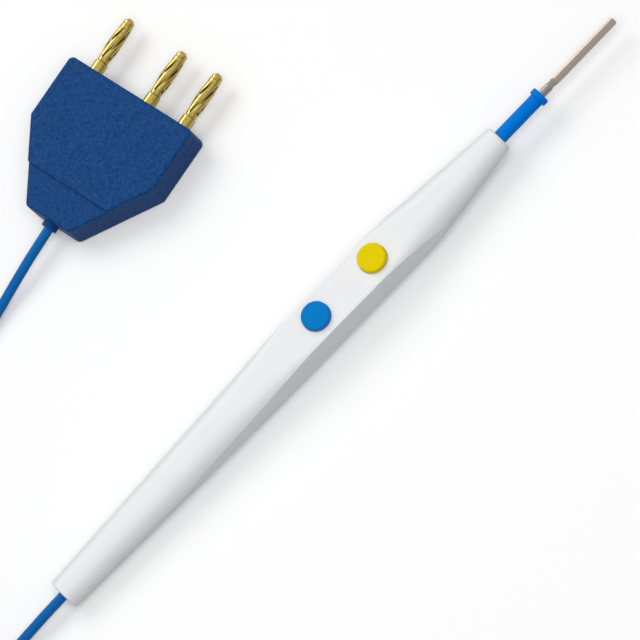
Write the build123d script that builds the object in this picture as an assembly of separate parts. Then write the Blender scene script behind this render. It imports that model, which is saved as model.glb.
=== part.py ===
from build123d import *
import math
import os

# An electrosurgical pencil lies on its straight underside, nose towards +X, buttons up.
# The origin is under the middle of the pencil, on the surface that it lies on.
# All sizes are in millimetres.

# The handle
handle_length = 169.7
body_width = 14.0
body_height = 12.2
wall = 1.4
end_wall = 2.0
nose_block = 23.7
seam_height = 2.7
tail_edge = 0.5
nose_edge = 0.7
smallest_corner = 0.3
overrun = 1.0

# Half the space between the flat flanks, at the tail and at the nose, and how far they lean out
flank_half_tail = 5.45
flank_half_nose = 6.72
flank_lean = 0.49

# Each row is one section of the round form. It gives the place along the handle, the half
# width as a share of half the body width, the top and the bottom as shares of the body height,
# and the upper and lower corners as shares of the smaller half size.
section_shares = [
    (0.000, 0.654, 0.752, 0.000, 0.950, 0.950),
    (0.412, 0.979, 0.971, 0.000, 0.910, 0.930),
    (0.477, 1.000, 0.992, 0.000, 0.690, 0.885),
    (0.510, 1.000, 0.998, 0.000, 0.530, 0.863),
    (0.545, 1.000, 1.000, 0.000, 0.340, 0.852),
    (0.585, 1.000, 1.000, 0.000, 0.220, 0.852),
    (0.700, 1.000, 1.000, 0.000, 0.220, 0.852),
    (0.735, 1.000, 1.000, 0.000, 0.330, 0.852),
    (0.778, 1.000, 1.000, 0.000, 0.574, 0.855),
    (0.796, 1.000, 0.999, 0.004, 0.690, 0.860),
    (0.816, 0.993, 0.996, 0.033, 0.860, 0.870),
    (0.837, 0.950, 0.990, 0.067, 0.930, 0.930),
    (1.000, 0.551, 0.926, 0.291, 0.950, 0.950),
]

# The electrode
electrode_height = 7.4
shank_radius = 1.19
shank_seated = 19.0
shank_seen = 3.0
shank_chamfer = 0.3
blade_length = 25.0
blade_width = 2.5
blade_thick = 0.8
blade_edge = 0.3
blade_flat = 0.9
blade_tip_corner = 0.7
blade_run_out = 2.4
sleeve_radius = 2.0
sleeve_seen = 16.2
collar_radius = 2.65
collar_length = 1.9
collar_round = 0.45
hex_flats = 4.0
hex_length = 5.2
socket_depth = 6.0
hex_clearance = 0.05
press_gap = 0.01

# The collet in the nose
collet_radius = 2.1
collet_length = 14.5
collet_back = 3.5
collet_clearance = 0.03
collet_slot = 0.4
collet_slot_length = 8.0
bore_clearance = 0.05
tongue_length = 5.0
passage_clearance = 0.2

# The two buttons and what is under them
button_radius = 4.1
button_proud = 1.6
button_round = 0.6
button_gap = 0.1
button_spacing = 21.6
button_setback = 57.9
ear_length = 11.0
ear_width = 8.2
ear_thick = 1.0
ear_corner = 1.5
rest_gap = 0.05
nib_radius = 1.5
dome_radius = 3.0
dome_rise = 0.9
dome_sheet = 0.15
boot_base_radius = 4.2
boot_base_inner = 3.4
boot_base_thick = 0.5
boot_lip_radius = 2.6
boot_lip_inner = 1.7
boot_lip_thick = 0.4

# The switch carrier and its contacts
carrier_top = 7.4
carrier_thick = 1.2
carrier_width = 9.0
carrier_margin = 9.0
carrier_corner = 1.0
strip_thick = 0.3
strip_width = 2.4
strip_clearance = 0.1
pad_ring_radius = 3.1
pad_ring_inner = 1.9
contact_pad_radius = 0.8
contact_rivet_radius = 0.5
rivet_clearance = 0.05
contact_tail_width = 1.4
barrel_radius = 0.85
barrel_length = 3.0
barrel_gap = 0.02
strip_tab_length = 6.0
post_radius = 0.7
post_inset = 1.6
post_spread = 3.9
seat_gap = 0.05

# The pegs that align the two halves of the handle
peg_radius = 0.7
peg_length = 2.0
peg_clearance = 0.06
peg_boss_radius = 1.3
peg_join_height = 6.0
peg_place_shares = [0.17, 0.44]
front_peg_share = 0.815
front_peg_spread = 2.6

# The cord, its clamp and the wires inside the handle
cord_radius = 1.4
cord_height = 4.6
cord_clearance = 0.06
cord_inside = 13.0
clamp_radius = 2.5
clamp_length = 5.0
clamp_rim = 0.5
clamp_rim_length = 1.2
clamp_gap = 0.1
bulkhead_thick = 1.2
wire_radius = 0.5
wire_circle = 0.75
wire_fan = 13.0
wire_side = 2.6
active_wire_height = 3.6
cut_wire_height = 3.2
coag_wire_height = 4.5
barrel_drop = 1.0
active_barrel_drop = 0.95
wire_rise = 8.0
wire_lead = 4.0
bend_share = 0.45
handle_wire_turns = [0, 240, 120]

# The coil of the length that is put away, and its tie
coil_x = -166.0
coil_y = 27.6
coil_mid_radius = 19.6
coil_across = 19.4
coil_high = 12.0
coil_corner = 4.2
tie_thick = 0.3
tie_angle = 14.0
tie_place = 20.0

# The plug
plug_x = -38.0
plug_y = 79.5
plug_turn = 10.6
plug_length = 41.7
plug_width = 43.9
plug_tail_width = 15.4
plug_straight = 19.7
plug_thick = 11.5
plug_corner = 1.6
plug_edge = 0.8
plug_wall = 2.2
plug_step = 1.0
plug_step_place = 10.6
plug_front_wall = 5.7
pin_margin = 6.5
pin_spacings = [19.05, 12.7]
pin_radius = 2.0
pin_seat_radius = 2.3
pin_clearance = 0.03
pin_shoulder = 3.2
pin_reach = 17.6
stem_radius = 1.35
pin_head_radius = 1.6
pin_head_length = 1.6
pin_flange_radius = 2.9
pin_flange_thick = 1.4
pin_cup_radius = 1.5
pin_cup_length = 5.0
leaf_radius = 2.03
leaf_waist = 1.65
leaf_sheet = 0.25
leaf_gap = 0.1
leaf_slots = 4
leaf_slot_width = 0.5
leaf_band = 1.2
grommet_radius = 2.3
grommet_seen = 1.8
grommet_flange_radius = 2.75
grommet_flange_thick = 1.6
plug_cord_inside = 9.0
plug_wire_turns = [90, 330, 210]
plug_peg_place = 14.0
plug_lead_ahead = 9.5

# Places that follow from the sizes
overall_length = handle_length + sleeve_seen + shank_seen + blade_length
tail_x = -overall_length / 2
nose_x = tail_x + handle_length
block_x = nose_x - nose_block
roof = body_height - wall
coag_x = nose_x - button_setback - button_spacing / 2
cut_x = coag_x + button_spacing
carrier_bottom = carrier_top - carrier_thick
carrier_start = coag_x - carrier_margin
carrier_end = cut_x + carrier_margin
shoulder_x = nose_x + sleeve_seen + shank_seen
shank_end = nose_x - shank_seated
plug_middle = plug_thick / 2
plug_shoulder = plug_length - plug_straight
post_places = [carrier_start + post_inset, carrier_end - post_inset]
front_peg_x = tail_x + front_peg_share * handle_length
peg_spots = [(tail_x + share * handle_length, 0) for share in peg_place_shares]
peg_spots += [(front_peg_x, side) for side in (-front_peg_spread, front_peg_spread)]

# The routes of the two free stretches of cord, chosen by hand
cord_lead_route = [
    (tail_x + cord_inside, 0, cord_height),
    (-112.0, 0, cord_height),
    (-131.0, 0.3, 1.4),
    (-147.0, 0.1, 1.4),
    (-160.0, 0.0, 1.4),
]
plug_lead_route = [
    (-174.5, 54.6, 1.4),
    (-152.0, 61.0, 1.4),
    (-128.5, 63.3, 1.4),
    (-108.0, 65.6, 1.4),
    (-88.0, 69.6, 1.4),
    (-66.0, 74.3, 1.9),
]


def rod(radius, start, end, y=0, z=0):
    """A round bar along X."""
    middle = Plane(origin=(start, y, z), x_dir=(0, 1, 0), z_dir=(1, 0, 0))
    return extrude(middle * Circle(radius), end - start)


def post(radius, x, y, low, high):
    """A round bar along Z."""
    return extrude(Plane(origin=(x, y, low)) * Circle(radius), high - low)


def block(start, end, half_width, low, high, y=0):
    """A box between two places along X, centred on y."""
    middle = Location(((start + end) / 2, y, (low + high) / 2))
    return middle * Box(end - start, 2 * half_width, high - low)


def slab(start, end):
    """All of the handle's room between two places along X."""
    return block(start, end, body_width, -overrun, body_height + overrun)


def section(row, inset):
    """One closed outline of the round form: four sides and four corner arcs."""
    place, half, top, bottom, upper, lower = row
    half = half * body_width / 2
    top = top * body_height
    bottom = bottom * body_height
    smaller = min(half, (top - bottom) / 2)
    upper = max(upper * smaller - inset, smallest_corner)
    lower = max(lower * smaller - inset, smallest_corner)
    half = half - inset
    top = top - inset
    bottom = bottom + inset
    plane = Plane(origin=(tail_x + place * handle_length, 0, 0), x_dir=(0, 1, 0), z_dir=(1, 0, 0))
    knee = 1 - math.sqrt(1 / 2)
    corners = [
        ((half - upper, top), (half - upper * knee, top - upper * knee), (half, top - upper)),
        ((half, bottom + lower), (half - lower * knee, bottom + lower * knee), (half - lower, bottom)),
        ((lower - half, bottom), (lower * knee - half, bottom + lower * knee), (-half, bottom + lower)),
        ((-half, top - upper), (upper * knee - half, top - upper * knee), (upper - half, top)),
    ]
    edges = []
    for corner, following in zip(corners, corners[1:] + corners[:1]):
        edges.append(ThreePointArc(*corner))
        edges.append(Line(corner[2], following[0]))
    return plane * make_face(Wire(edges))


def flanks(inset):
    """The wedge whose two flat sides cut the flanks of the handle."""
    ends = []
    for x, half in ((tail_x, flank_half_tail), (nose_x, flank_half_nose)):
        plane = Plane(origin=(x, 0, 0), x_dir=(0, 1, 0), z_dir=(1, 0, 0))
        high = half - inset
        low = high + flank_lean
        rise = flank_lean * overrun / body_height
        outline = Polyline(
            (low + rise, -overrun),
            (high - rise, body_height + overrun),
            (rise - high, body_height + overrun),
            (-low - rise, -overrun),
            close=True,
        )
        ends.append(plane * make_face(outline))
    return loft(ends)


def handle_form(inset):
    """The handle's outer form, or its inner one when it is inset by the wall."""
    sections = [section(row, inset) for row in section_shares]
    return loft(sections, ruled=True) & flanks(inset)


def round_ends(form):
    """The outer form with the rims of its two end faces rounded."""
    tail_rim = form.edges().filter_by_position(Axis.X, tail_x - press_gap, tail_x + press_gap)
    form = fillet(tail_rim, tail_edge)
    nose_rim = form.edges().filter_by_position(Axis.X, nose_x - press_gap, nose_x + press_gap)
    return fillet(nose_rim, nose_edge)


def tray_space():
    """The room that the lower half of the handle takes."""
    return block(tail_x - overrun, block_x, body_width, -overrun, seam_height)


def cord_slot():
    """The way in for the cord through the tail and the bulkhead, open to the seam."""
    radius = cord_radius + cord_clearance
    end = tail_x + end_wall + clamp_length + 2 * clamp_gap + bulkhead_thick + overrun
    hole = rod(radius, tail_x - overrun, end, 0, cord_height)
    return hole + block(tail_x - overrun, end, radius, seam_height - overrun, cord_height)


def bulkhead(middle):
    """The wall behind the cord clamp, let half its depth into the shell."""
    start = tail_x + end_wall + clamp_length + 2 * clamp_gap
    return middle & slab(start, start + bulkhead_thick)


def cord_gate():
    """The two tongues on the lower half that close the slot under the cord."""
    radius = cord_radius + cord_clearance
    half = radius - seat_gap
    start = tail_x + end_wall + clamp_length + 2 * clamp_gap
    gates = block(tail_x, tail_x + end_wall, half, seam_height - wall / 2, cord_height)
    gates += block(start, start + bulkhead_thick, half, seam_height - wall / 2, cord_height)
    return gates - rod(radius, tail_x - overrun, start + 2 * bulkhead_thick, 0, cord_height)


def nose_bore():
    """The stepped bore: the collet's seat, the shank's way through and the hex socket."""
    seat_end = block_x + collet_length + bore_clearance
    socket_start = nose_x - socket_depth
    bore = rod(collet_radius + bore_clearance, block_x - overrun, seat_end, 0, electrode_height)
    passage = shank_radius + passage_clearance
    bore += rod(passage, seat_end - overrun, nose_x, 0, electrode_height)
    bore += hex_bar(hex_flats + 2 * hex_clearance, socket_start, nose_x + overrun)
    return bore


def across_plane(x):
    """The plane across the electrode's axis at one place."""
    return Plane(origin=(x, 0, electrode_height), x_dir=(0, 1, 0), z_dir=(1, 0, 0))


def hex_bar(flats, start, end):
    """A six-sided bar along the electrode's axis, with its flats up and down."""
    outline = RegularPolygon(flats / 2, 6, major_radius=False)
    return extrude(across_plane(start) * outline, end - start)


def button_places():
    """The two buttons from tail to nose."""
    return [coag_x, cut_x]


def upper_shell(outer, middle, cavity):
    """The upper half of the handle with the nose, the button holes, bosses and hold-down posts."""
    shell = outer - cavity - tray_space()
    shell += bulkhead(middle) - tray_space()
    inside = [post(peg_boss_radius, x, y, peg_join_height, body_height) for x, y in peg_spots]
    for x in post_places:
        for y in (-post_spread, post_spread):
            inside.append(post(post_radius, x, y, carrier_top + seat_gap, body_height))
    for piece in inside:
        shell += piece & middle
    for x, y in peg_spots:
        depth = peg_join_height + peg_length + seat_gap
        shell -= post(peg_radius + peg_clearance, x, y, peg_join_height - overrun, depth)
    for x in button_places():
        shell -= post(button_radius + button_gap, x, 0, roof - overrun, body_height + overrun)
    return shell - nose_bore() - cord_slot()


def lower_shell(outer, middle, cavity):
    """The lower half: a shallow tray with pegs, posts under the carrier and the cord's gates."""
    tray = (outer - cavity) & tray_space()
    tray += bulkhead(middle) & tray_space()
    for x, y in peg_spots:
        tray += post(peg_boss_radius, x, y, 0, peg_join_height - seat_gap) & middle
        tray += post(peg_radius, x, y, wall, peg_join_height + peg_length - seat_gap)
    for x in post_places:
        for y in (-post_spread, post_spread):
            tray += post(post_radius, x, y, 0, carrier_bottom - seat_gap) & middle
    return tray + cord_gate()


def button(x):
    """A round cap with a flat ear at each end that stays under the roof, and a nib below."""
    top = body_height + button_proud
    ear_top = roof - rest_gap
    cap = post(button_radius, x, 0, ear_top - ear_thick / 2, top)
    cap = fillet(cap.edges().group_by(Axis.Z)[-1], button_round)
    outline = Plane(origin=(x, 0, ear_top - ear_thick)) * RectangleRounded(ear_length, ear_width, ear_corner)
    nib_low = carrier_top + dome_rise + rest_gap
    return cap + extrude(outline, ear_thick) + post(nib_radius, x, 0, nib_low, ear_top)


def dome(x):
    """A sprung steel dome with its rim on the contact strip."""
    height = dome_rise
    outer = (dome_radius ** 2 + height ** 2) / (2 * height)
    inner_rise = height - dome_sheet
    inner_radius = dome_radius - dome_sheet
    inner = (inner_radius ** 2 + inner_rise ** 2) / (2 * inner_rise)
    upper_cap = Location((x, 0, carrier_top + height - outer)) * Sphere(outer)
    lower_cap = Location((x, 0, carrier_top + inner_rise - inner)) * Sphere(inner)
    slab = post(dome_radius + overrun, x, 0, carrier_top, carrier_top + height + overrun)
    return (upper_cap & slab) - lower_cap


def boot(x):
    """A thin silicone cone that seals the button to the carrier."""
    top = roof - rest_gap - ear_thick - rest_gap
    low = carrier_top
    outline = Polyline(
        (boot_base_inner, low),
        (boot_base_radius, low),
        (boot_base_radius, low + boot_base_thick),
        (boot_lip_radius, top - boot_lip_thick),
        (boot_lip_radius, top),
        (boot_lip_inner, top),
        (boot_lip_inner, top - boot_lip_thick),
        (boot_base_inner, low + boot_base_thick),
        close=True,
    )
    profile = Plane(origin=(0, 0, 0), x_dir=(1, 0, 0), z_dir=(0, -1, 0)) * make_face(outline)
    return Location((x, 0, 0)) * revolve(profile, Axis.Z)


def strip_outline(extra):
    """The flat pattern of the contact strip, seen from above."""
    start = carrier_start - strip_tab_length
    end = block_x - seat_gap
    band = Location(((start + end) / 2, 0)) * Rectangle(end - start, strip_width + 2 * extra)
    for x in button_places():
        band += Location((x, 0)) * Circle(pad_ring_radius + extra)
    for x in button_places():
        band -= Location((x, 0)) * Circle(pad_ring_inner - extra)
    tab_middle = (start + carrier_start) / 2
    reach = wire_side + barrel_radius
    band += Location((tab_middle, reach / 2)) * Rectangle(carrier_start - start, reach)
    return band


def barrel(start, y, z):
    """A crimp barrel along X, open for the wire's end."""
    sleeve = rod(barrel_radius, start, start + barrel_length, y, z)
    return sleeve - rod(wire_radius + barrel_gap, start - overrun, start + barrel_length + overrun, y, z)


def active_barrel_x():
    """Where the active wire's barrel starts, under the strip's tab."""
    return carrier_start - strip_tab_length + strip_clearance


def contact_strip():
    """The common contact: one brass strip from the active wire to the collet."""
    plane = Plane(origin=(0, 0, carrier_top - strip_thick))
    strip = extrude(plane * strip_outline(0), strip_thick)
    height = carrier_top - active_barrel_drop
    hollow = rod(wire_radius + barrel_gap, active_barrel_x(), active_barrel_x() + barrel_length,
                 wire_side, height)
    return strip + barrel(active_barrel_x(), wire_side, height) - hollow


def switch_carrier():
    """The moulded plate that holds the strip and the two rivets."""
    middle = (carrier_start + carrier_end) / 2
    outline = RectangleRounded(carrier_end - carrier_start, carrier_width, carrier_corner)
    plate = extrude(Plane(origin=(middle, 0, carrier_bottom)) * outline, carrier_thick)
    plane = Plane(origin=(0, 0, carrier_top - strip_thick))
    plate -= extrude(plane * strip_outline(strip_clearance), strip_thick + overrun)
    for x in button_places():
        plate -= post(contact_rivet_radius + rivet_clearance, x, 0, 0, body_height)
        plate -= post(contact_pad_radius + rivet_clearance, x, 0, carrier_top - strip_thick, body_height)
    return plate


def button_contact(x):
    """A rivet through the carrier with a tail and a barrel for its wire."""
    low = carrier_bottom - strip_thick
    rivet = post(contact_rivet_radius, x, 0, low, carrier_top)
    rivet += post(contact_pad_radius, x, 0, carrier_top - strip_thick, carrier_top)
    half = contact_tail_width / 2
    reach = (wire_side + half) / 2
    rivet += block(x - half, x + half, reach, low, carrier_bottom - seat_gap, half - reach)
    height = carrier_bottom - barrel_drop
    start = x - barrel_length / 2
    hollow = rod(wire_radius + barrel_gap, start, start + barrel_length, -wire_side, height)
    return rivet + barrel(start, -wire_side, height) - hollow


def collet():
    """A slotted brass sleeve that grips the shank, with a tongue under the strip's end."""
    start = block_x
    end = start + collet_length
    body = rod(collet_radius, start, end, 0, electrode_height)
    bore = shank_radius + collet_clearance
    body -= rod(bore, start + collet_back, end + overrun, 0, electrode_height)
    slot_start = end - collet_slot_length
    half = collet_slot / 2
    body -= block(slot_start, end + overrun, half, 0, body_height)
    body -= block(slot_start, end + overrun, body_width, electrode_height - half, electrode_height + half)
    high = carrier_top - strip_thick
    tongue = block(start - tongue_length, start, strip_width / 2, high - strip_thick, high)
    return body + tongue


def blade_outline(x):
    """The blade's cross-section: a narrow flat above and below, bevelled to a thin edge."""
    corners = [(blade_flat / 2, blade_thick / 2), (blade_width / 2, blade_edge / 2)]
    corners += [(across, -up) for across, up in reversed(corners)]
    corners += [(-across, -up) for across, up in corners]
    return across_plane(x) * make_face(Polyline(*corners, close=True))


def electrode_blade():
    """A round stainless shank, coined flat into a bevelled blade ahead of the shoulder."""
    shank = rod(shank_radius, shank_end, shoulder_x, 0, electrode_height)
    shank = chamfer(shank.edges().group_by(Axis.X)[0], shank_chamfer)
    start = shoulder_x - blade_run_out / 2
    blade = extrude(blade_outline(start), blade_length + blade_run_out / 2)
    tip = shoulder_x + blade_length
    nose = Plane(origin=(tip - blade_length / 2, 0, electrode_height)) * Rectangle(blade_length, blade_width)
    nose = fillet(nose.vertices().group_by(Axis.X)[-1], blade_tip_corner)
    blade &= extrude(nose, blade_thick, both=True) + rod(shank_radius, start, shoulder_x, 0, electrode_height)
    side = 2 * shank_radius * math.sqrt(1 / 2)
    square = across_plane(shoulder_x) * Rectangle(side, side)
    root = loft([square, blade_outline(shoulder_x + blade_run_out)])
    return (shank + root) + blade


def electrode_sleeve():
    """The moulded insulator: hex root, round sleeve and a collar at the front."""
    end = nose_x + sleeve_seen
    collar = rod(collar_radius, end - collar_length, end, 0, electrode_height)
    collar = fillet(collar.edges().filter_by(GeomType.CIRCLE), collar_round)
    sleeve = rod(sleeve_radius, nose_x - hex_length / 2, end - collar_length / 2, 0, electrode_height)
    sleeve += collar + hex_bar(hex_flats, nose_x - hex_length, nose_x - seat_gap)
    return sleeve - rod(shank_radius + press_gap, shank_end, end + overrun, 0, electrode_height)


def cord_clamp():
    """A ring crimped on the cord behind the end wall, with a rim at each end."""
    start = tail_x + end_wall + clamp_gap
    end = start + clamp_length
    ring = rod(clamp_radius - clamp_rim, start, end, 0, cord_height)
    ring += rod(clamp_radius, start, start + clamp_rim_length, 0, cord_height)
    ring += rod(clamp_radius, end - clamp_rim_length, end, 0, cord_height)
    return ring - rod(cord_radius + press_gap, start - overrun, end + overrun, 0, cord_height)


def bend_radii(route):
    """The radius at each corner of a route, as large as its two runs allow."""
    radii = []
    for before, corner, after in zip(route, route[1:], route[2:]):
        run_in = Vector(*corner) - Vector(*before)
        run_out = Vector(*after) - Vector(*corner)
        half_turn = math.radians(run_in.get_angle(run_out)) / 2
        radii.append(bend_share * min(run_in.length, run_out.length) / math.tan(half_turn))
    return radii


def tube(name, route, radius):
    """A round tube along straight runs that tangent arcs join."""
    radii = bend_radii(route)
    path = FilletPolyline(*route, radius=radii)
    solid = sweep(Plane(origin=path @ 0, z_dir=path % 0) * Circle(radius), path=path)
    expected = math.pi * radius ** 2 * path.length
    print(name, "radii", [round(size, 1) for size in radii], "length", round(path.length, 2),
          "volume share", round(solid.volume / expected, 5))
    return solid


def wire_start(turn):
    """Where one of the three wires leaves the cord's end."""
    angle = math.radians(turn)
    return (tail_x + cord_inside, wire_circle * math.cos(angle), cord_height + wire_circle * math.sin(angle))


def handle_wire(name, turn, side, height, end_x, end_height):
    """One wire from the cord's end, along the side of the handle, up to its barrel."""
    start = wire_start(turn)
    route = [
        start,
        (start[0] + wire_fan, side, height),
        (end_x - wire_lead - wire_rise, side, height + press_gap),
        (end_x - wire_lead, side, end_height),
        (end_x + barrel_length, side, end_height),
    ]
    return tube(name, route, wire_radius)


def active_wire():
    """The wire that carries the current to the strip."""
    height = carrier_top - active_barrel_drop
    start = active_barrel_x()
    return handle_wire("active_wire", handle_wire_turns[0], wire_side, active_wire_height, start, height)


def cut_wire():
    """The wire to the yellow button's contact."""
    start = cut_x - barrel_length / 2
    height = carrier_bottom - barrel_drop
    return handle_wire("cut_wire", handle_wire_turns[1], -wire_side, cut_wire_height, start, height)


def coag_wire():
    """The wire to the blue button's contact."""
    start = coag_x - barrel_length / 2
    height = carrier_bottom - barrel_drop
    return handle_wire("coag_wire", handle_wire_turns[2], -wire_side, coag_wire_height, start, height)


def coil_section(inset):
    """The cross-section of the coil's bundle, less an inset on every side."""
    plane = Plane(origin=(coil_x + coil_mid_radius, coil_y, coil_high / 2), x_dir=(1, 0, 0), z_dir=(0, -1, 0))
    outline = RectangleRounded(coil_across - 2 * inset, coil_high - 2 * inset, coil_corner - inset)
    return plane * outline


def coil_axis():
    """The upright axis of the coil."""
    return Axis((coil_x, coil_y, 0), (0, 0, 1))


def cord_tie():
    """The band round the bundle."""
    band = coil_section(0) - coil_section(tie_thick)
    arc = revolve(band, coil_axis(), revolution_arc=tie_angle)
    turned = Location((coil_x, coil_y, 0)) * Rotation(0, 0, tie_place) * Location((-coil_x, -coil_y, 0))
    return turned * arc


def cord_coil():
    """The outer shape of the wound turns, drawn in under the tie."""
    return revolve(coil_section(0), coil_axis()) - cord_tie()


def plug_at(along, across=0, height=0):
    """A place on the plug, from its own length and width, in the frame of the whole part."""
    angle = math.radians(plug_turn)
    x = plug_x + along * math.cos(angle) - across * math.sin(angle)
    y = plug_y + along * math.sin(angle) + across * math.cos(angle)
    return (x, y, height)


def placed(piece):
    """A piece that was made in the plug's own frame, put where the plug lies."""
    return Location((plug_x, plug_y, 0)) * Rotation(0, 0, plug_turn) * piece


def pin_places():
    """The three pins across the plug, from the lone pin to the last of the pair."""
    first = plug_width / 2 - pin_margin
    return [first, first - pin_spacings[0], first - sum(pin_spacings)]


def plug_outline():
    """The plug from above: a straight front part that narrows to the cord."""
    wide = plug_width / 2
    narrow = plug_tail_width / 2
    outline = Polyline(
        (0, narrow),
        (plug_shoulder, wide),
        (plug_length, wide),
        (plug_length, -wide),
        (plug_shoulder, -wide),
        (0, -narrow),
        close=True,
    )
    face = make_face(outline)
    return fillet(face.vertices(), plug_corner)


def rounded_plug(height):
    """The plug's whole outline at one height, with its upper and lower edges rounded."""
    body = extrude(plug_outline(), height)
    levels = body.edges().group_by(Axis.Z)
    return fillet(levels[0] + levels[-1], plug_edge)


def plug_form():
    """The plug's outer form, with the shallow step down towards the cord."""
    front = block(plug_step_place, plug_length + overrun, plug_width, 0, plug_thick)
    return rounded_plug(plug_thick - plug_step) + (rounded_plug(plug_thick) & front)


def plug_cavity():
    """The room in the plug behind the pins, and the seats of the pins and the grommet."""
    room = offset(plug_outline(), amount=-plug_wall)
    end = plug_length - plug_front_wall
    hollow = extrude(Plane(origin=(0, 0, plug_wall)) * room, plug_thick - 2 * plug_wall - plug_step)
    hollow &= block(0, end, plug_width, 0, plug_thick)
    for y in pin_places():
        radius = pin_seat_radius + pin_clearance
        hollow += rod(radius, end - overrun, plug_length + overrun, y, plug_middle)
        flange_end = end + pin_flange_thick + 2 * pin_clearance
        hollow += rod(pin_flange_radius + pin_clearance, end - overrun, flange_end, y, plug_middle)
    hollow += rod(grommet_radius + pin_clearance, -overrun, plug_wall + overrun, 0, plug_middle)
    collar_end = plug_wall + grommet_flange_thick + pin_clearance
    hollow += rod(grommet_flange_radius + pin_clearance, plug_wall, collar_end, 0, plug_middle)
    return hollow


def plug_peg_spots():
    """Where the two halves of the plug are pegged together."""
    pins = pin_places()
    along = plug_length - plug_peg_place
    return [(along, (first + second) / 2) for first, second in zip(pins, pins[1:])]


def plug_lower_shell():
    """The lower half of the plug, with its two pegs."""
    half = (plug_form() - plug_cavity()) & block(-overrun, plug_length + overrun, plug_width, 0, plug_middle)
    for x, y in plug_peg_spots():
        half += post(peg_boss_radius, x, y, plug_wall - seat_gap, plug_middle - seat_gap)
        half += post(peg_radius, x, y, plug_wall, plug_middle + peg_length - seat_gap)
    return placed(half)


def plug_upper_shell():
    """The upper half of the plug, with the bosses that take the pegs."""
    space = block(-overrun, plug_length + overrun, plug_width, plug_middle, plug_thick)
    half = (plug_form() - plug_cavity()) & space
    for x, y in plug_peg_spots():
        half += post(peg_boss_radius, x, y, plug_middle, plug_thick - plug_wall)
        half -= post(peg_radius + peg_clearance, x, y, 0, plug_middle + peg_length)
    return placed(half)


def plug_grommet():
    """The collar round the cord where it enters the plug."""
    neck = rod(grommet_radius, -grommet_seen, plug_wall + grommet_flange_thick, 0, plug_middle)
    start = plug_wall + pin_clearance
    neck += rod(grommet_flange_radius, start, plug_wall + grommet_flange_thick, 0, plug_middle)
    hole = rod(cord_radius + press_gap, -2 * grommet_seen, plug_cord_inside, 0, plug_middle)
    return placed(neck - hole)


def pin_core(y):
    """A turned pin: cup, flange, shoulder, stem and a round head, made in one profile."""
    end = plug_length - plug_front_wall
    flange_start = end + pin_clearance
    flange_end = flange_start + pin_flange_thick
    cup_start = flange_start - pin_cup_length
    shoulder = plug_length + pin_shoulder
    tip = plug_length + pin_reach
    outline = Polyline(
        (cup_start, 0),
        (cup_start, pin_cup_radius),
        (flange_start, pin_cup_radius),
        (flange_start, pin_flange_radius),
        (flange_end, pin_flange_radius),
        (flange_end, pin_seat_radius),
        (plug_length, pin_seat_radius),
        (plug_length, pin_radius),
        (shoulder, pin_radius),
        (shoulder, stem_radius),
        (tip - pin_head_length, stem_radius),
        (tip - pin_head_length, pin_head_radius),
        (tip - pin_head_length / 2, pin_head_radius),
        (tip, pin_head_radius / 2),
        (tip, 0),
        close=True,
    )
    turned = revolve(make_face(outline), Axis.X)
    turned -= rod(wire_radius + barrel_gap, cup_start - overrun, cup_start + barrel_length)
    return placed(Location((0, y, plug_middle)) * turned)


def pin_leaf(y):
    """The sprung lantern round a pin's stem, slit into leaves between two bands."""
    start = plug_length + pin_shoulder + leaf_gap
    end = plug_length + pin_reach - pin_head_length - leaf_gap
    middle = (start + end) / 2
    outer = [(start, leaf_waist), (middle, leaf_radius), (end, leaf_waist)]
    inner = [(x, radius - leaf_sheet) for x, radius in outer]
    profile = make_face(Wire([
        ThreePointArc(*outer),
        Line(outer[2], inner[2]),
        ThreePointArc(*inner),
        Line(inner[0], outer[0]),
    ]))
    lantern = revolve(profile, Axis.X)
    half = leaf_slot_width / 2
    for turn in range(leaf_slots):
        cutter = block(start + leaf_band, end - leaf_band, half, 0, 2 * leaf_radius)
        lantern -= Rotation(turn * 360 / leaf_slots, 0, 0) * cutter
    return placed(Location((0, y, plug_middle)) * lantern)


def plug_wire(name, turn, y):
    """One wire from the cord's end in the plug to a pin's cup."""
    angle = math.radians(turn)
    side = wire_circle * math.cos(angle)
    height = plug_middle + wire_circle * math.sin(angle)
    cup = plug_length - plug_front_wall + pin_clearance - pin_cup_length
    first = plug_cord_inside
    route = [
        plug_at(first, side, height),
        plug_at(first + wire_lead, side, height),
        plug_at(cup - wire_lead, y, plug_middle),
        plug_at(cup + barrel_length, y, plug_middle),
    ]
    return tube(name, route, wire_radius)


def plug_lead():
    """The cord from the coil to the inside of the plug."""
    route = plug_lead_route + [
        plug_at(-plug_lead_ahead, 0, plug_middle),
        plug_at(plug_cord_inside, 0, plug_middle),
    ]
    return tube("plug_lead", route, cord_radius)


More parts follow.
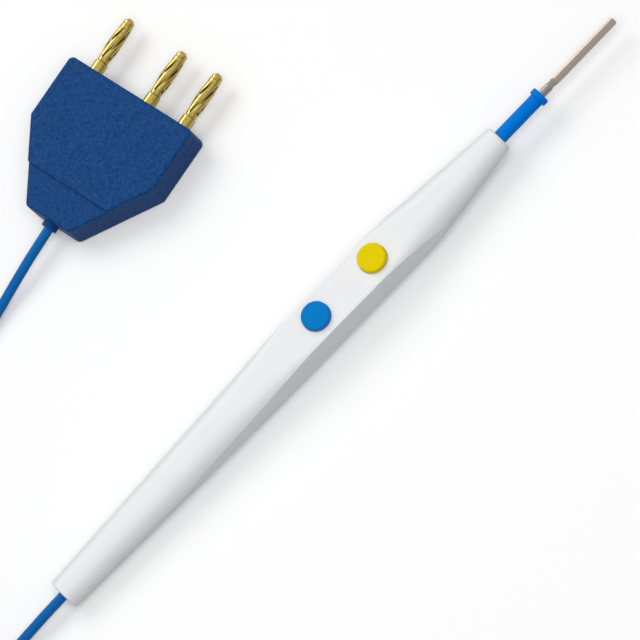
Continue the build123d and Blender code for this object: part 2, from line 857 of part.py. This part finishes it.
def make_pieces():
    """Every piece by name."""
    pins = dict(zip(("active", "cut", "coag"), pin_places()))
    outer = round_ends(handle_form(0))
    middle = handle_form(wall / 2)
    cavity = handle_form(wall) & slab(tail_x + end_wall, block_x)
    pieces = {
        "upper_shell": upper_shell(outer, middle, cavity),
        "lower_shell": lower_shell(outer, middle, cavity),
        "switch_carrier": switch_carrier(),
        "contact_strip": contact_strip(),
        "collet": collet(),
        "electrode_blade": electrode_blade(),
        "electrode_sleeve": electrode_sleeve(),
        "cord_clamp": cord_clamp(),
        "active_wire": active_wire(),
        "cut_wire": cut_wire(),
        "coag_wire": coag_wire(),
        "cord_lead": tube("cord_lead", cord_lead_route, cord_radius),
        "cord_coil": cord_coil(),
        "cord_tie": cord_tie(),
        "plug_lead": plug_lead(),
        "plug_upper_shell": plug_upper_shell(),
        "plug_lower_shell": plug_lower_shell(),
        "plug_grommet": plug_grommet(),
    }
    for name, x in (("coag", coag_x), ("cut", cut_x)):
        pieces[name + "_button"] = button(x)
        pieces[name + "_dome"] = dome(x)
        pieces[name + "_boot"] = boot(x)
        pieces[name + "_contact"] = button_contact(x)
    for turn, (name, y) in zip(plug_wire_turns, pins.items()):
        pieces[name + "_pin"] = pin_core(y)
        pieces[name + "_pin_leaf"] = pin_leaf(y)
        pieces["plug_" + name + "_wire"] = plug_wire("plug_" + name + "_wire", turn, y)
    return pieces


os.makedirs("parts", exist_ok=True)
for name, piece in make_pieces().items():
    export_step(piece, os.path.join("parts", name + ".step"))
print("overall length", round(overall_length, 2), "tail", round(tail_x, 2), "nose", round(nose_x, 2))
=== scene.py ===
# %% [markdown]
# An electrosurgical pencil, dressed for a catalogue photograph. A surgeon holds it like a
# pen: the yellow button cuts, the blue one stops bleeding, and the flat blade carries the
# current. The solids of the pencil come from CAD and stay where they are. Blender adds what
# CAD leaves out: the real line of the cord, and the plastics, metals and light.

# %% Load the CAD frame
import bpy
import math
from mathutils import Matrix, Vector


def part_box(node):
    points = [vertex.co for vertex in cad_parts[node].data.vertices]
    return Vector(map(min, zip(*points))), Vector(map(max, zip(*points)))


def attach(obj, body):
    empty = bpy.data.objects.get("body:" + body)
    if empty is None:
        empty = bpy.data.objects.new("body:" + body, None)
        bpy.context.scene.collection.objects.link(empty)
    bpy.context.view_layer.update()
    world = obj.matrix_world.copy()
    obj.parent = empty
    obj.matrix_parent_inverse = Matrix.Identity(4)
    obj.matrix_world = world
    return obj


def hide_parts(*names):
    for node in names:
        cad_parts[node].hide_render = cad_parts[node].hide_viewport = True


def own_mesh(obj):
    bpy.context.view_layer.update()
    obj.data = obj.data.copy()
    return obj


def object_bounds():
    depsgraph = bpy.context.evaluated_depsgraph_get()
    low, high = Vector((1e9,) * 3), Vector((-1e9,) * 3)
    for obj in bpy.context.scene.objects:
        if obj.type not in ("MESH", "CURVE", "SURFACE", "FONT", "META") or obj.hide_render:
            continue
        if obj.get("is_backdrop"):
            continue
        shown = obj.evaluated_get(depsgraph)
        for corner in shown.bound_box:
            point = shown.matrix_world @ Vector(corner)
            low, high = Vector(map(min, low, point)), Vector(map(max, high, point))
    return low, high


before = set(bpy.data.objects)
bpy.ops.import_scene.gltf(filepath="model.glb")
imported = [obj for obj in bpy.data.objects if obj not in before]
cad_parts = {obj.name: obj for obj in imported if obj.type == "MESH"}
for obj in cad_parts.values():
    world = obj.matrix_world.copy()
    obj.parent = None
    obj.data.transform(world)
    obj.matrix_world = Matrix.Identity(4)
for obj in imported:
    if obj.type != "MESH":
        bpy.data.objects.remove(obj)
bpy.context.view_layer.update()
MM = 0.001

# %% [markdown]
# The camera comes first, because it decides what shows. The photograph looks almost straight
# down on the pencil, leaning a little to its right side, and turned so that the pencil
# points to the upper right. Nothing in it gets smaller with distance, so a very long lens
# far away is the right choice. Three axes at right angles give the camera's pose: right and
# up in the picture, and back towards the camera.

# %% Camera
LEAN = math.radians(24.0)
TURN = math.radians(45.97)
FRAME_WIDTH = 172.8 * MM
CAMERA_DISTANCE = 1.5
SENSOR = 36.0
LOOK_AT = Vector((-5.908, 4.04, 0.0)) * MM

along = Vector((1, 0, 0))
across = Vector((0, -math.cos(LEAN), -math.sin(LEAN)))
picture_right = along * math.cos(TURN) + across * math.sin(TURN)
picture_up = along * math.sin(TURN) - across * math.cos(TURN)
picture_back = picture_right.cross(picture_up)

camera_data = bpy.data.cameras.new("product_camera")
camera_data.sensor_width = SENSOR
camera_data.lens = SENSOR * CAMERA_DISTANCE / FRAME_WIDTH
camera_data.clip_end = 20
camera = bpy.data.objects.new("product_camera", camera_data)
bpy.context.scene.collection.objects.link(camera)
pose = Matrix((picture_right, picture_up, picture_back)).transposed().to_4x4()
camera.matrix_world = Matrix.Translation(LOOK_AT + picture_back * CAMERA_DISTANCE) @ pose
bpy.context.scene.camera = camera
print("lens", round(camera_data.lens, 1), "mm")

# %% [markdown]
# The cord is 3 m of soft PVC, 2.8 mm thick. It runs straight out of the tail, drops to the
# table, and is put away as a neat round coil just outside the picture. From there it goes to
# the plug. One NURBS curve through a few chosen points gives a smooth line for the whole of
# it, because a cord never has a corner. A Bezier curve would need handles at each point. Its
# points carry the cord's real radius and the bevel depth is 1, because Blender's box of a
# curve adds the radius of its points.

# %% The cord's route
CORD_DIAMETER = 2.8 * MM
lead_route = [(-93.95, 0, 4.6), (-112, 0, 4.6), (-131, 0.3, 1.4), (-147, 0.1, 1.4)]
plug_route = [
    (-152, 61.0, 1.4), (-128.5, 63.3, 1.4), (-108, 65.6, 1.4), (-88, 69.6, 1.4), (-66, 74.3, 1.9),
]
PLUG_PLACE = Vector((-38.0, 79.5, 5.75))
PLUG_TURN = math.radians(10.6)
OUT_OF_PLUG = -9.5
INTO_PLUG = 9.0


def plug_point(reach):
    """A point on the plug's axis, in millimetres from the plug's cord end."""
    return tuple(PLUG_PLACE + Vector((math.cos(PLUG_TURN), math.sin(PLUG_TURN), 0)) * reach)


plug_route += [plug_point(OUT_OF_PLUG), plug_point(INTO_PLUG)]
print("route", len(lead_route), "points to the coil,", len(plug_route), "to the plug")

# %% [markdown]
# The coil is wound in four flat layers, in towards the middle and out again, each layer on
# top of the last. A loop over the turn angle makes its points: the radius changes by one
# cord pitch a turn, and between two layers the cord climbs at a constant radius. CLIMB_SHAPE
# pairs a share of the climb's turn with a share of its rise. At the end the cord comes down
# outside the coil to the table. WAY_DOWN gives the turns since the last layer, the radius and
# the height of that stretch.

# %% The coil's points
COIL_MIDDLE = (-166.0, 27.6)
COIL_RADII = (27.6, 11.65)
LAYER_TURNS = 5.5
CLIMB_TURNS = 0.28
LAYER_HEIGHTS = [1.72, 4.58, 7.44, 10.3]
POINTS_A_TURN = 14
CLIMB_SHAPE = [(0.25, 0.15), (0.5, 0.5), (0.75, 0.85)]
WAY_DOWN = [
    (0.08, 27.7, 10.3), (0.16, 27.8, 10.3), (0.23, 28.6, 10.1), (0.30, 30.0, 9.3), (0.37, 30.9, 7.0),
    (0.44, 31.0, 4.4), (0.51, 31.0, 2.3), (0.57, 31.0, 1.4), (0.62, 31.0, 1.4),
]


def coil_point(turns, radius, height):
    """A point of the coil, after some clockwise turns from its start at the near side."""
    angle = -math.pi / 2 - turns * 2 * math.pi
    middle_x, middle_y = COIL_MIDDLE
    return (middle_x + radius * math.cos(angle), middle_y + radius * math.sin(angle), height)


coil_points = []
turned = 0.0
for layer, height in enumerate(LAYER_HEIGHTS):
    start, end = COIL_RADII if layer % 2 == 0 else COIL_RADII[::-1]
    steps = round(LAYER_TURNS * POINTS_A_TURN)
    for step in range(steps + 1):
        share = step / steps
        coil_points.append(coil_point(turned + share * LAYER_TURNS, start + (end - start) * share, height))
    turned += LAYER_TURNS
    if layer + 1 < len(LAYER_HEIGHTS):
        rise = LAYER_HEIGHTS[layer + 1] - height
        for share, risen in CLIMB_SHAPE:
            coil_points.append(coil_point(turned + share * CLIMB_TURNS, end, height + risen * rise))
        turned += CLIMB_TURNS
for more, radius, height in WAY_DOWN:
    coil_points.append(coil_point(turned + more, radius, height))
print("coil", len(coil_points), "points,", round(turned, 2), "turns")

# %% [markdown]
# A white cotton band holds the coil together. It is 6 mm wide, goes once round the bundle, and
# its end is glued down over its start. A grid of points follows the bundle's rounded outline,
# upright and across the cord, and a Solidify modifier gives the cloth its thickness. TIE_LAP
# says how the end lies over the start: places across the top, each with its lift in sheets.

# %% The band round the coil
TIE_PLACE = math.radians(27)
TIE_WIDTH = 6.0
TIE_SHEET = 0.28
TIE_HALF_ACROSS = 9.66
TIE_HALF_HIGH = 5.84
TIE_CORNER = 2.0
ARC_STEPS = 6
TIE_LAP = [(-3.5, 0.0), (-1.75, 0.4), (0.0, 1.6), (7.0, 1.1)]
CLOTH_COLUMNS = (-0.5, -0.25, 0, 0.25, 0.5)


def tie_outline():
    """Places on the band's way round the bundle: across it and up, from the middle of its top."""
    flat_across, flat_high = TIE_HALF_ACROSS - TIE_CORNER, TIE_HALF_HIGH - TIE_CORNER
    places = [(0.0, TIE_HALF_HIGH)]
    for side, level, first in ((1, 1, 90), (1, -1, 0), (-1, -1, -90), (-1, 1, -180)):
        for step in range(ARC_STEPS + 1):
            angle = math.radians(first - 90 * step / ARC_STEPS)
            places.append((side * flat_across + TIE_CORNER * math.cos(angle),
                           level * flat_high + TIE_CORNER * math.sin(angle)))
    return places + [(reach, TIE_HALF_HIGH + sheets * TIE_SHEET) for reach, sheets in TIE_LAP]


outwards = Vector((math.cos(TIE_PLACE), math.sin(TIE_PLACE), 0))
sideways = Vector((-math.sin(TIE_PLACE), math.cos(TIE_PLACE), 0))
bundle_height = (LAYER_HEIGHTS[0] + LAYER_HEIGHTS[-1]) / 2
bundle = Vector((*COIL_MIDDLE, bundle_height)) + outwards * sum(COIL_RADII) / 2
outline = tie_outline()
tie_vertices = [
    (bundle + outwards * over + sideways * side * TIE_WIDTH + Vector((0, 0, up))) * MM
    for over, up in outline for side in CLOTH_COLUMNS
]
row_length = len(CLOTH_COLUMNS)
tie_faces = [
    (corner, corner + 1, corner + row_length + 1, corner + row_length)
    for row in range(len(outline) - 1)
    for corner in range(row * row_length, (row + 1) * row_length - 1)
]
tie_mesh = bpy.data.meshes.new("coil_band")
tie_mesh.from_pydata(tie_vertices, [], tie_faces)
tie_mesh.polygons.foreach_set("use_smooth", [True] * len(tie_mesh.polygons))
coil_band = bpy.data.objects.new("coil_band", tie_mesh)
bpy.context.scene.collection.objects.link(coil_band)
cloth = coil_band.modifiers.new("cloth", "SOLIDIFY")
cloth.thickness = TIE_SHEET * MM
cloth.offset = 0
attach(coil_band, "pencil")
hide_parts("cord_tie")
print("band", len(tie_faces), "faces")

# %% [markdown]
# Each plug pin grips its socket with a sprung lantern: a sheet-metal sleeve that is slit into
# leaves and bulges in the middle. On the real pins the slits run round the sleeve like a slow
# screw thread, which the plain CAD lantern leaves out. A grid of points wraps the sleeve: its
# columns follow the thread, so leaving out some columns makes clean slits. Each leaf's long
# edges drop a little, as a leaf that is bent from flat sheet does. A Solidify modifier then
# gives the sheet its thickness.

# %% Twisted lanterns
LEAF_LENGTH = 12.5
LEAF_WAIST = 1.66
LEAF_BULGE = 2.06
LEAF_BAND = 1.3
LEAF_COUNT = 5
COLUMNS_A_LEAF = 10
SLIT_COLUMNS = 3
LEAF_TWIST = math.radians(120)
LEAF_ROWS = 56
BULGE_SHAPE = 1.2
EDGE_DROP = 0.35
SHEET = 0.22


def twisted_lantern(name, middle):
    """A sleeve round a pin, slit into twisted leaves between two plain bands."""
    columns = LEAF_COUNT * COLUMNS_A_LEAF
    vertices, faces = [], []
    for row in range(LEAF_ROWS + 1):
        share = row / LEAF_ROWS
        reach = (share - 0.5) * LEAF_LENGTH
        radius = LEAF_WAIST + (LEAF_BULGE - LEAF_WAIST) * math.sin(math.pi * share) ** BULGE_SHAPE
        turn = LEAF_TWIST * (share - 0.5)
        for column in range(columns):
            angle = turn + column / columns * 2 * math.pi
            out = radius
            if LEAF_BAND < share * LEAF_LENGTH < LEAF_LENGTH - LEAF_BAND:
                from_middle = (column % COLUMNS_A_LEAF - (COLUMNS_A_LEAF - SLIT_COLUMNS) / 2) / COLUMNS_A_LEAF
                out = radius * (1 - EDGE_DROP * from_middle ** 2)
            vertices.append((reach * MM, out * math.cos(angle) * MM, out * math.sin(angle) * MM))
    for row in range(LEAF_ROWS):
        near = (row + 0.5) / LEAF_ROWS * LEAF_LENGTH
        slit_here = LEAF_BAND < near < LEAF_LENGTH - LEAF_BAND
        for column in range(columns):
            if slit_here and column % COLUMNS_A_LEAF >= COLUMNS_A_LEAF - SLIT_COLUMNS:
                continue
            following = (column + 1) % columns
            this_row, next_row = row * columns, (row + 1) * columns
            faces.append((this_row + column, this_row + following, next_row + following, next_row + column))
    mesh = bpy.data.meshes.new(name)
    mesh.from_pydata(vertices, [], faces)
    mesh.polygons.foreach_set("use_smooth", [True] * len(mesh.polygons))
    lantern = bpy.data.objects.new(name, mesh)
    lantern.matrix_world = Matrix.Translation(middle) @ Matrix.Rotation(PLUG_TURN, 4, "Z")
    bpy.context.scene.collection.objects.link(lantern)
    solidify = lantern.modifiers.new("sheet", "SOLIDIFY")
    solidify.thickness = SHEET * MM
    solidify.offset = -1
    return lantern


PINS = ("active", "cut", "coag")
lanterns = {}
for pin in PINS:
    low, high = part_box(pin + "_pin_leaf")
    middle = (Vector(low) + Vector(high)) / 2
    lantern = twisted_lantern(pin + "_pin_lantern", middle)
    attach(lantern, "pencil")
    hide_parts(pin + "_pin_leaf")
    lanterns[lantern.name] = lantern
    print(lantern.name, "at", [round(value / MM, 1) for value in middle])

# %% [markdown]
# Now the cord itself: one smooth curve along the whole route, as thick as the real cord.

# %% Make the cord
def smooth_cord(name, points, diameter):
    """A round cord along one smooth line through the frame, in millimetres."""
    data = bpy.data.curves.new(name, "CURVE")
    data.dimensions = "3D"
    spline = data.splines.new("NURBS")
    spline.points.add(len(points) - 1)
    for target, point in zip(spline.points, points):
        target.co = (*(value * MM for value in point), 1)
        target.radius = diameter / 2
    spline.order_u = 3
    spline.use_endpoint_u = True
    spline.resolution_u = 3
    data.bevel_depth = 1.0
    data.bevel_resolution = 4
    data.use_fill_caps = True
    cord_object = bpy.data.objects.new(name, data)
    bpy.context.scene.collection.objects.link(cord_object)
    return cord_object


cord = smooth_cord("supply_cord", lead_route + coil_points + plug_route, CORD_DIAMETER)
plug_pieces = ["plug_upper_shell", "plug_lower_shell", "plug_grommet"]
for pin in PINS:
    plug_pieces += [pin + "_pin", "plug_" + pin + "_wire"]
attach(cord, "pencil")
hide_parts("cord_lead", "cord_coil", "plug_lead")
print("cord made along", len(cord.data.splines[0].points), "points")

# %% [markdown]
# The finishes are made of shader nodes. Colours are written as sRGB hex values, as a colour
# picker shows them, but a shader wants linear light, so one function turns them over. Another
# adds a node with its settings and links in one line, which keeps each finish readable.

# %% Colours and nodes
def linear(text):
    """The linear colour of an sRGB hex value, with alpha."""
    parts = [int(text[place:place + 2], 16) / 255 for place in (1, 3, 5)]
    return (*(c / 12.92 if c <= 0.04045 else ((c + 0.055) / 1.055) ** 2.4 for c in parts), 1)


def add_node(tree, kind, settings=(), links=()):
    """Adds a node. Settings name its inputs or properties, links give its inputs' sources."""
    node = tree.nodes.new(kind)
    for name, value in dict(settings).items():
        if name in node.inputs:
            node.inputs[name].default_value = value
        else:
            setattr(node, name, value)
    for name, source in dict(links).items():
        tree.links.new(source, node.inputs[name])
    return node


def new_material(name):
    """An empty material, its node tree and its output."""
    material = bpy.data.materials.new(name)
    material.use_nodes = True
    tree = material.node_tree
    tree.nodes.clear()
    return material, tree, tree.nodes.new("ShaderNodeOutputMaterial")


def seen_by(tree, *rays):
    """A value that is 1 for the named kinds of ray and 0 for the others."""
    path = add_node(tree, "ShaderNodeLightPath")
    answer = path.outputs[rays[0]]
    for ray in rays[1:]:
        either = add_node(tree, "ShaderNodeMath", {"operation": "MAXIMUM"})
        tree.links.new(answer, either.inputs[0])
        tree.links.new(path.outputs[ray], either.inputs[1])
        answer = either.outputs[0]
    return answer


print("helpers ready, mid grey is", round(linear("#808080")[0], 3))

# %% [markdown]
# The floor is white paper. Seen by the camera it glows a little, so that it reads as white,
# but it also catches the pencil's shadow. For mirrors and glass it is the same white. A real
# studio has a dark edge round its table, so less light comes back from below: for the light
# that bounces the paper is greyer, and a little blue, as shaded paper looks. Light Path tells
# these rays apart.

# %% Floor
FLOOR_SIZE = 6.0
FLOOR_DROP = 0.02 * MM
PAPER = linear("#F9F9F9")
PAPER_BOUNCE = linear("#B3B9BF")
PAPER_GLOW = 0.08

paper, tree, output = new_material("white_paper")
seen = seen_by(tree, "Is Camera Ray", "Is Glossy Ray", "Is Transmission Ray")
diffuse = add_node(tree, "ShaderNodeBsdfDiffuse", {"Color": PAPER})
bounce = add_node(tree, "ShaderNodeBsdfDiffuse", {"Color": PAPER_BOUNCE})
glow = add_node(tree, "ShaderNodeEmission", {"Color": (1, 1, 1, 1), "Strength": PAPER_GLOW})
both = add_node(tree, "ShaderNodeAddShader")
tree.links.new(diffuse.outputs[0], both.inputs[0])
tree.links.new(glow.outputs[0], both.inputs[1])
mix = add_node(tree, "ShaderNodeMixShader", {}, {"Fac": seen})
tree.links.new(bounce.outputs[0], mix.inputs[1])
tree.links.new(both.outputs[0], mix.inputs[2])
tree.links.new(mix.outputs[0], output.inputs["Surface"])

floor_mesh = bpy.data.meshes.new("floor")
half = FLOOR_SIZE / 2
corners = [(-half, -half), (half, -half), (half, half), (-half, half)]
floor_mesh.from_pydata([(x, y, -FLOOR_DROP) for x, y in corners], [], [(0, 1, 2, 3)])
floor = bpy.data.objects.new("floor", floor_mesh)
floor.data.materials.append(paper)
bpy.context.scene.collection.objects.link(floor)
floor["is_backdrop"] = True
print("floor", FLOOR_SIZE, "m wide")

# %% [markdown]
# The light is a large softbox above the camera's side, a smaller one at the upper left of the
# picture, and a pale grey world that fills the shadows. The low lamp draws the soft shadow at
# the lower right. Both are kept out of reflections, so that the colours of the plastic stay
# deep. A third lamp near the table shows in reflections only, and draws the bright edge of
# the blade. A sun would draw a hard shadow. Each lamp's energy follows from its share of the
# light on the floor. All shares and the world's grey add up to about 1, at which white paper
# is just white.

# %% Lamps
def soft_lamp(name, lean, distance, size, share):
    """A square lamp that leans to the pencil's right by some degrees and gives a share of the light."""
    angle = math.radians(lean)
    data = bpy.data.lights.new(name, "AREA")
    data.shape = "SQUARE"
    data.size = size
    data.energy = share * (math.pi * distance) ** 2 / math.cos(angle)
    lamp = bpy.data.objects.new(name, data)
    lamp.location = LOOK_AT + Vector((0, -math.sin(angle), math.cos(angle))) * distance
    lamp.rotation_mode = "QUATERNION"
    lamp.rotation_quaternion = (lamp.location - LOOK_AT).to_track_quat("Z", "Y")
    lamp.visible_camera = False
    bpy.context.scene.collection.objects.link(lamp)
    print(name, round(data.energy, 2), "W")
    return lamp


softbox = soft_lamp("softbox", 18, 1.0, 0.6, 0.36)
low_lamp = soft_lamp("low_lamp", -40, 0.9, 0.5, 0.22)
softbox.visible_glossy = low_lamp.visible_glossy = False
edge_lamp = soft_lamp("edge_lamp", -60, 0.9, 0.5, 0.19)
edge_lamp.visible_diffuse = False

# %% [markdown]
# The world is darker near the horizon, as in a studio with dark walls, which gives round
# pieces their darker edges. The two ends are chosen so that a flat floor gets as much light
# as from an even world. In reflections the world is lighter, because metal shows nothing
# else. The camera sees it white, like the paper.

# %% World
WORLD_GREY = 0.44
MIRRORED_GREY = 0.85
HORIZON, ZENITH = 0.25, 1.375
world = bpy.data.worlds.new("studio")
bpy.context.scene.world = world
world.use_nodes = True
tree = world.node_tree
tree.nodes.clear()
world_output = tree.nodes.new("ShaderNodeOutputWorld")
direction = add_node(tree, "ShaderNodeTexCoord")
height = add_node(tree, "ShaderNodeSeparateXYZ", {}, {"Vector": direction.outputs["Generated"]})
sky = add_node(tree, "ShaderNodeMapRange", {"To Min": HORIZON, "To Max": ZENITH},
               {"Value": height.outputs["Z"]})
level = add_node(tree, "ShaderNodeMapRange", {"To Min": WORLD_GREY, "To Max": MIRRORED_GREY},
                 {"Value": seen_by(tree, "Is Glossy Ray")})
strength = add_node(tree, "ShaderNodeMath", {"operation": "MULTIPLY"})
tree.links.new(sky.outputs[0], strength.inputs[0])
tree.links.new(level.outputs[0], strength.inputs[1])
lit = add_node(tree, "ShaderNodeBackground", {"Color": (1, 1, 1, 1)}, {"Strength": strength.outputs[0]})
white = add_node(tree, "ShaderNodeBackground", {"Color": (1, 1, 1, 1), "Strength": 1.0})
world_mix = add_node(tree, "ShaderNodeMixShader", {},
                     {"Fac": seen_by(tree, "Is Camera Ray", "Is Transmission Ray")})
tree.links.new(lit.outputs[0], world_mix.inputs[1])
tree.links.new(white.outputs[0], world_mix.inputs[2])
tree.links.new(world_mix.outputs[0], world_output.inputs["Surface"])
bpy.context.scene.view_settings.view_transform = "Standard"
print("world", WORLD_GREY)

# %% [markdown]
# Each material is one Principled shader. Two noise patterns in object space drive it: a
# broad one that shifts the colour a little, as moulded plastic always does, and a fine one
# that gives the surface its grain as bump and shifts its roughness a little. Object space is
# in metres, so a grain of a real size in millimetres becomes a scale of 1000 divided by that size.

# %% Material maker
def made_material(name, colour, second, roughness, spread, metallic=0.0, mottle_mm=9.0, grain_mm=0.4,
                  grain_depth=0.02, stretch=(1, 1, 1), **more):
    """A finish with a broad mottle between two colours and a fine grain of a real size."""
    material, tree, output = new_material(name)
    place = add_node(tree, "ShaderNodeTexCoord")
    scaled = add_node(tree, "ShaderNodeMapping", {"Scale": stretch}, {"Vector": place.outputs["Object"]})
    mottle = add_node(tree, "ShaderNodeTexNoise", {"Scale": 1000 / mottle_mm, "Detail": 3.0},
                      {"Vector": scaled.outputs["Vector"]})
    grain = add_node(tree, "ShaderNodeTexNoise", {"Scale": 1000 / grain_mm, "Detail": 2.0},
                     {"Vector": scaled.outputs["Vector"]})
    shade = add_node(tree, "ShaderNodeMix", {"data_type": "RGBA"})
    shade.inputs[6].default_value = linear(colour)
    shade.inputs[7].default_value = linear(second)
    tree.links.new(mottle.outputs["Fac"], shade.inputs[0])
    rough = add_node(tree, "ShaderNodeMapRange", {"To Min": roughness - spread, "To Max": roughness + spread},
                     {"Value": grain.outputs["Fac"]})
    bump = add_node(tree, "ShaderNodeBump", {"Strength": 1.0, "Distance": grain_depth * MM},
                    {"Height": grain.outputs["Fac"]})
    shader = add_node(tree, "ShaderNodeBsdfPrincipled", {"Metallic": metallic, **more}, {
        "Base Color": shade.outputs[2], "Roughness": rough.outputs[0], "Normal": bump.outputs[0],
    })
    tree.links.new(shader.outputs[0], output.inputs["Surface"])
    print(name, "with a grain of", grain_mm, "mm")
    return material


# %% [markdown]
# The handle is injection-moulded ABS with an eroded finish: bright white, a soft sheen, and
# a grain that is only felt. ABS has an index of refraction of about 1.54. The plug is another
# plastic from a spark-eroded mould, with a coarse grain as bump. Its dark and light specks
# are painted glints and painted shade of that grain, a fine colour mottle between a deep
# and a lighter blue.
# A low specular level keeps the bright blues and the yellow as deep as they are in the
# photograph, where hardly any lamp shows in them.

# %% Plastics
white_abs = made_material("moulded_white_ABS", "#F0F1F2", "#EBECED", 0.42, 0.05, grain_mm=0.35,
                          grain_depth=0.004, IOR=1.54, **{"Specular IOR Level": 0.3})
sleeve_blue = made_material("moulded_blue_polypropylene", "#007CE0", "#0074D6", 0.30, 0.04, grain_mm=0.5,
                            grain_depth=0.003, IOR=1.49, **{"Specular IOR Level": 0.03})
cord_blue = made_material("extruded_blue_PVC", "#0468B2", "#0260A6", 0.30, 0.05, grain_mm=0.9,
                          grain_depth=0.01, IOR=1.53, **{"Specular IOR Level": 0.1})
# The plug's fine mottle between a deep and a lighter blue is painted glint and painted shade of its coarse
# grain.
plug_blue = made_material("spark_eroded_blue_polypropylene", "#001C4B", "#225A9B", 0.50, 0.12, mottle_mm=0.8,
                          grain_mm=0.7, grain_depth=0.14, IOR=1.49, **{"Specular IOR Level": 0.08})
cap_yellow = made_material("moulded_yellow_ABS", "#E8D200", "#E2CA00", 0.32, 0.04, grain_mm=0.4,
                           grain_depth=0.003, IOR=1.54, **{"Specular IOR Level": 0.05})
cap_blue = made_material("moulded_cyan_blue_ABS", "#007ECC", "#0078C4", 0.32, 0.04, grain_mm=0.4,
                         grain_depth=0.003, IOR=1.54, **{"Specular IOR Level": 0.05})
nylon = made_material("natural_nylon", "#DAD6C8", "#D0CCBC", 0.42, 0.06, grain_mm=0.5,
                      grain_depth=0.01, IOR=1.53)
silicone = made_material("grey_silicone_rubber", "#C9C9C4", "#BFBFBA", 0.55, 0.05, grain_mm=0.5,
                         grain_depth=0.01, IOR=1.41)
wire_red = made_material("extruded_red_PVC", "#B8322B", "#A62A24", 0.35, 0.05, grain_mm=0.6,
                         grain_depth=0.01, IOR=1.53)
tie_white = made_material("woven_white_band", "#D9DCE0", "#C3C8CE", 0.75, 0.10, grain_mm=0.3,
                          grain_depth=0.08)

# %% [markdown]
# The blade is stainless strip, coined from a round shank, and its grain runs along it. The
# pins are turned brass under a thin gold flash. The dome is spring steel.

# %% Metals
steel = made_material("coined_stainless_steel", "#9B928A", "#8A817A", 0.34, 0.08, metallic=1.0, mottle_mm=1.2,
                      grain_mm=0.12, grain_depth=0.006, stretch=(0.06, 1, 1))
gilt = made_material("gold_flashed_brass", "#C8B66C", "#93782F", 0.18, 0.06, metallic=1.0, mottle_mm=1.0,
                     grain_mm=0.2, grain_depth=0.005)
brass = made_material("stamped_brass", "#C8A25A", "#B48E48", 0.32, 0.06, metallic=1.0, mottle_mm=2.0,
                      grain_mm=0.2, grain_depth=0.005)
dome_steel = made_material("spring_steel", "#B4B6B8", "#A2A4A6", 0.28, 0.06, metallic=1.0, mottle_mm=1.5,
                           grain_mm=0.2, grain_depth=0.005)

# %% [markdown]
# One table says which finish each piece wears, also the CAD solids that a made piece stands
# for. Pieces that come in twos and threes are added by a loop.

# %% Dress the pieces
finish_of = {
    "upper_shell": white_abs, "lower_shell": white_abs, "switch_carrier": nylon,
    "contact_strip": brass, "collet": brass, "cord_clamp": brass,
    "electrode_blade": steel, "electrode_sleeve": sleeve_blue,
    "coag_button": cap_blue, "cut_button": cap_yellow,
    "coil_band": tie_white, "cord_tie": tie_white,
    "plug_upper_shell": plug_blue, "plug_lower_shell": plug_blue, "plug_grommet": plug_blue,
}
for name in ("coag", "cut"):
    finish_of[name + "_dome"] = dome_steel
    finish_of[name + "_boot"] = silicone
    finish_of[name + "_contact"] = brass
for pin in PINS:
    for piece_name in (pin + "_pin", pin + "_pin_leaf", pin + "_pin_lantern"):
        finish_of[piece_name] = gilt
    finish_of[pin + "_wire"] = finish_of["plug_" + pin + "_wire"] = wire_red
for name in ("supply_cord", "cord_lead", "cord_coil", "plug_lead"):
    finish_of[name] = cord_blue

made_pieces = {"supply_cord": cord, "coil_band": coil_band, **lanterns}
for name, finish in finish_of.items():
    piece = made_pieces[name] if name in made_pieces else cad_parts[name]
    piece.data.materials.clear()
    piece.data.materials.append(finish)
print("dressed", len(finish_of), "pieces")

# %% [markdown]
# Two pieces under each button give way when it is pressed: the steel dome that snaps, and the
# silicone boot that seals it.

for name in ("coag", "cut"):
    for spring in (name + "_dome", name + "_boot"):
        low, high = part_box(spring)
        height = (high[2] - low[2]) / MM
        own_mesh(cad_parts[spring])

# %% Sizes, and the last line
low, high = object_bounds()
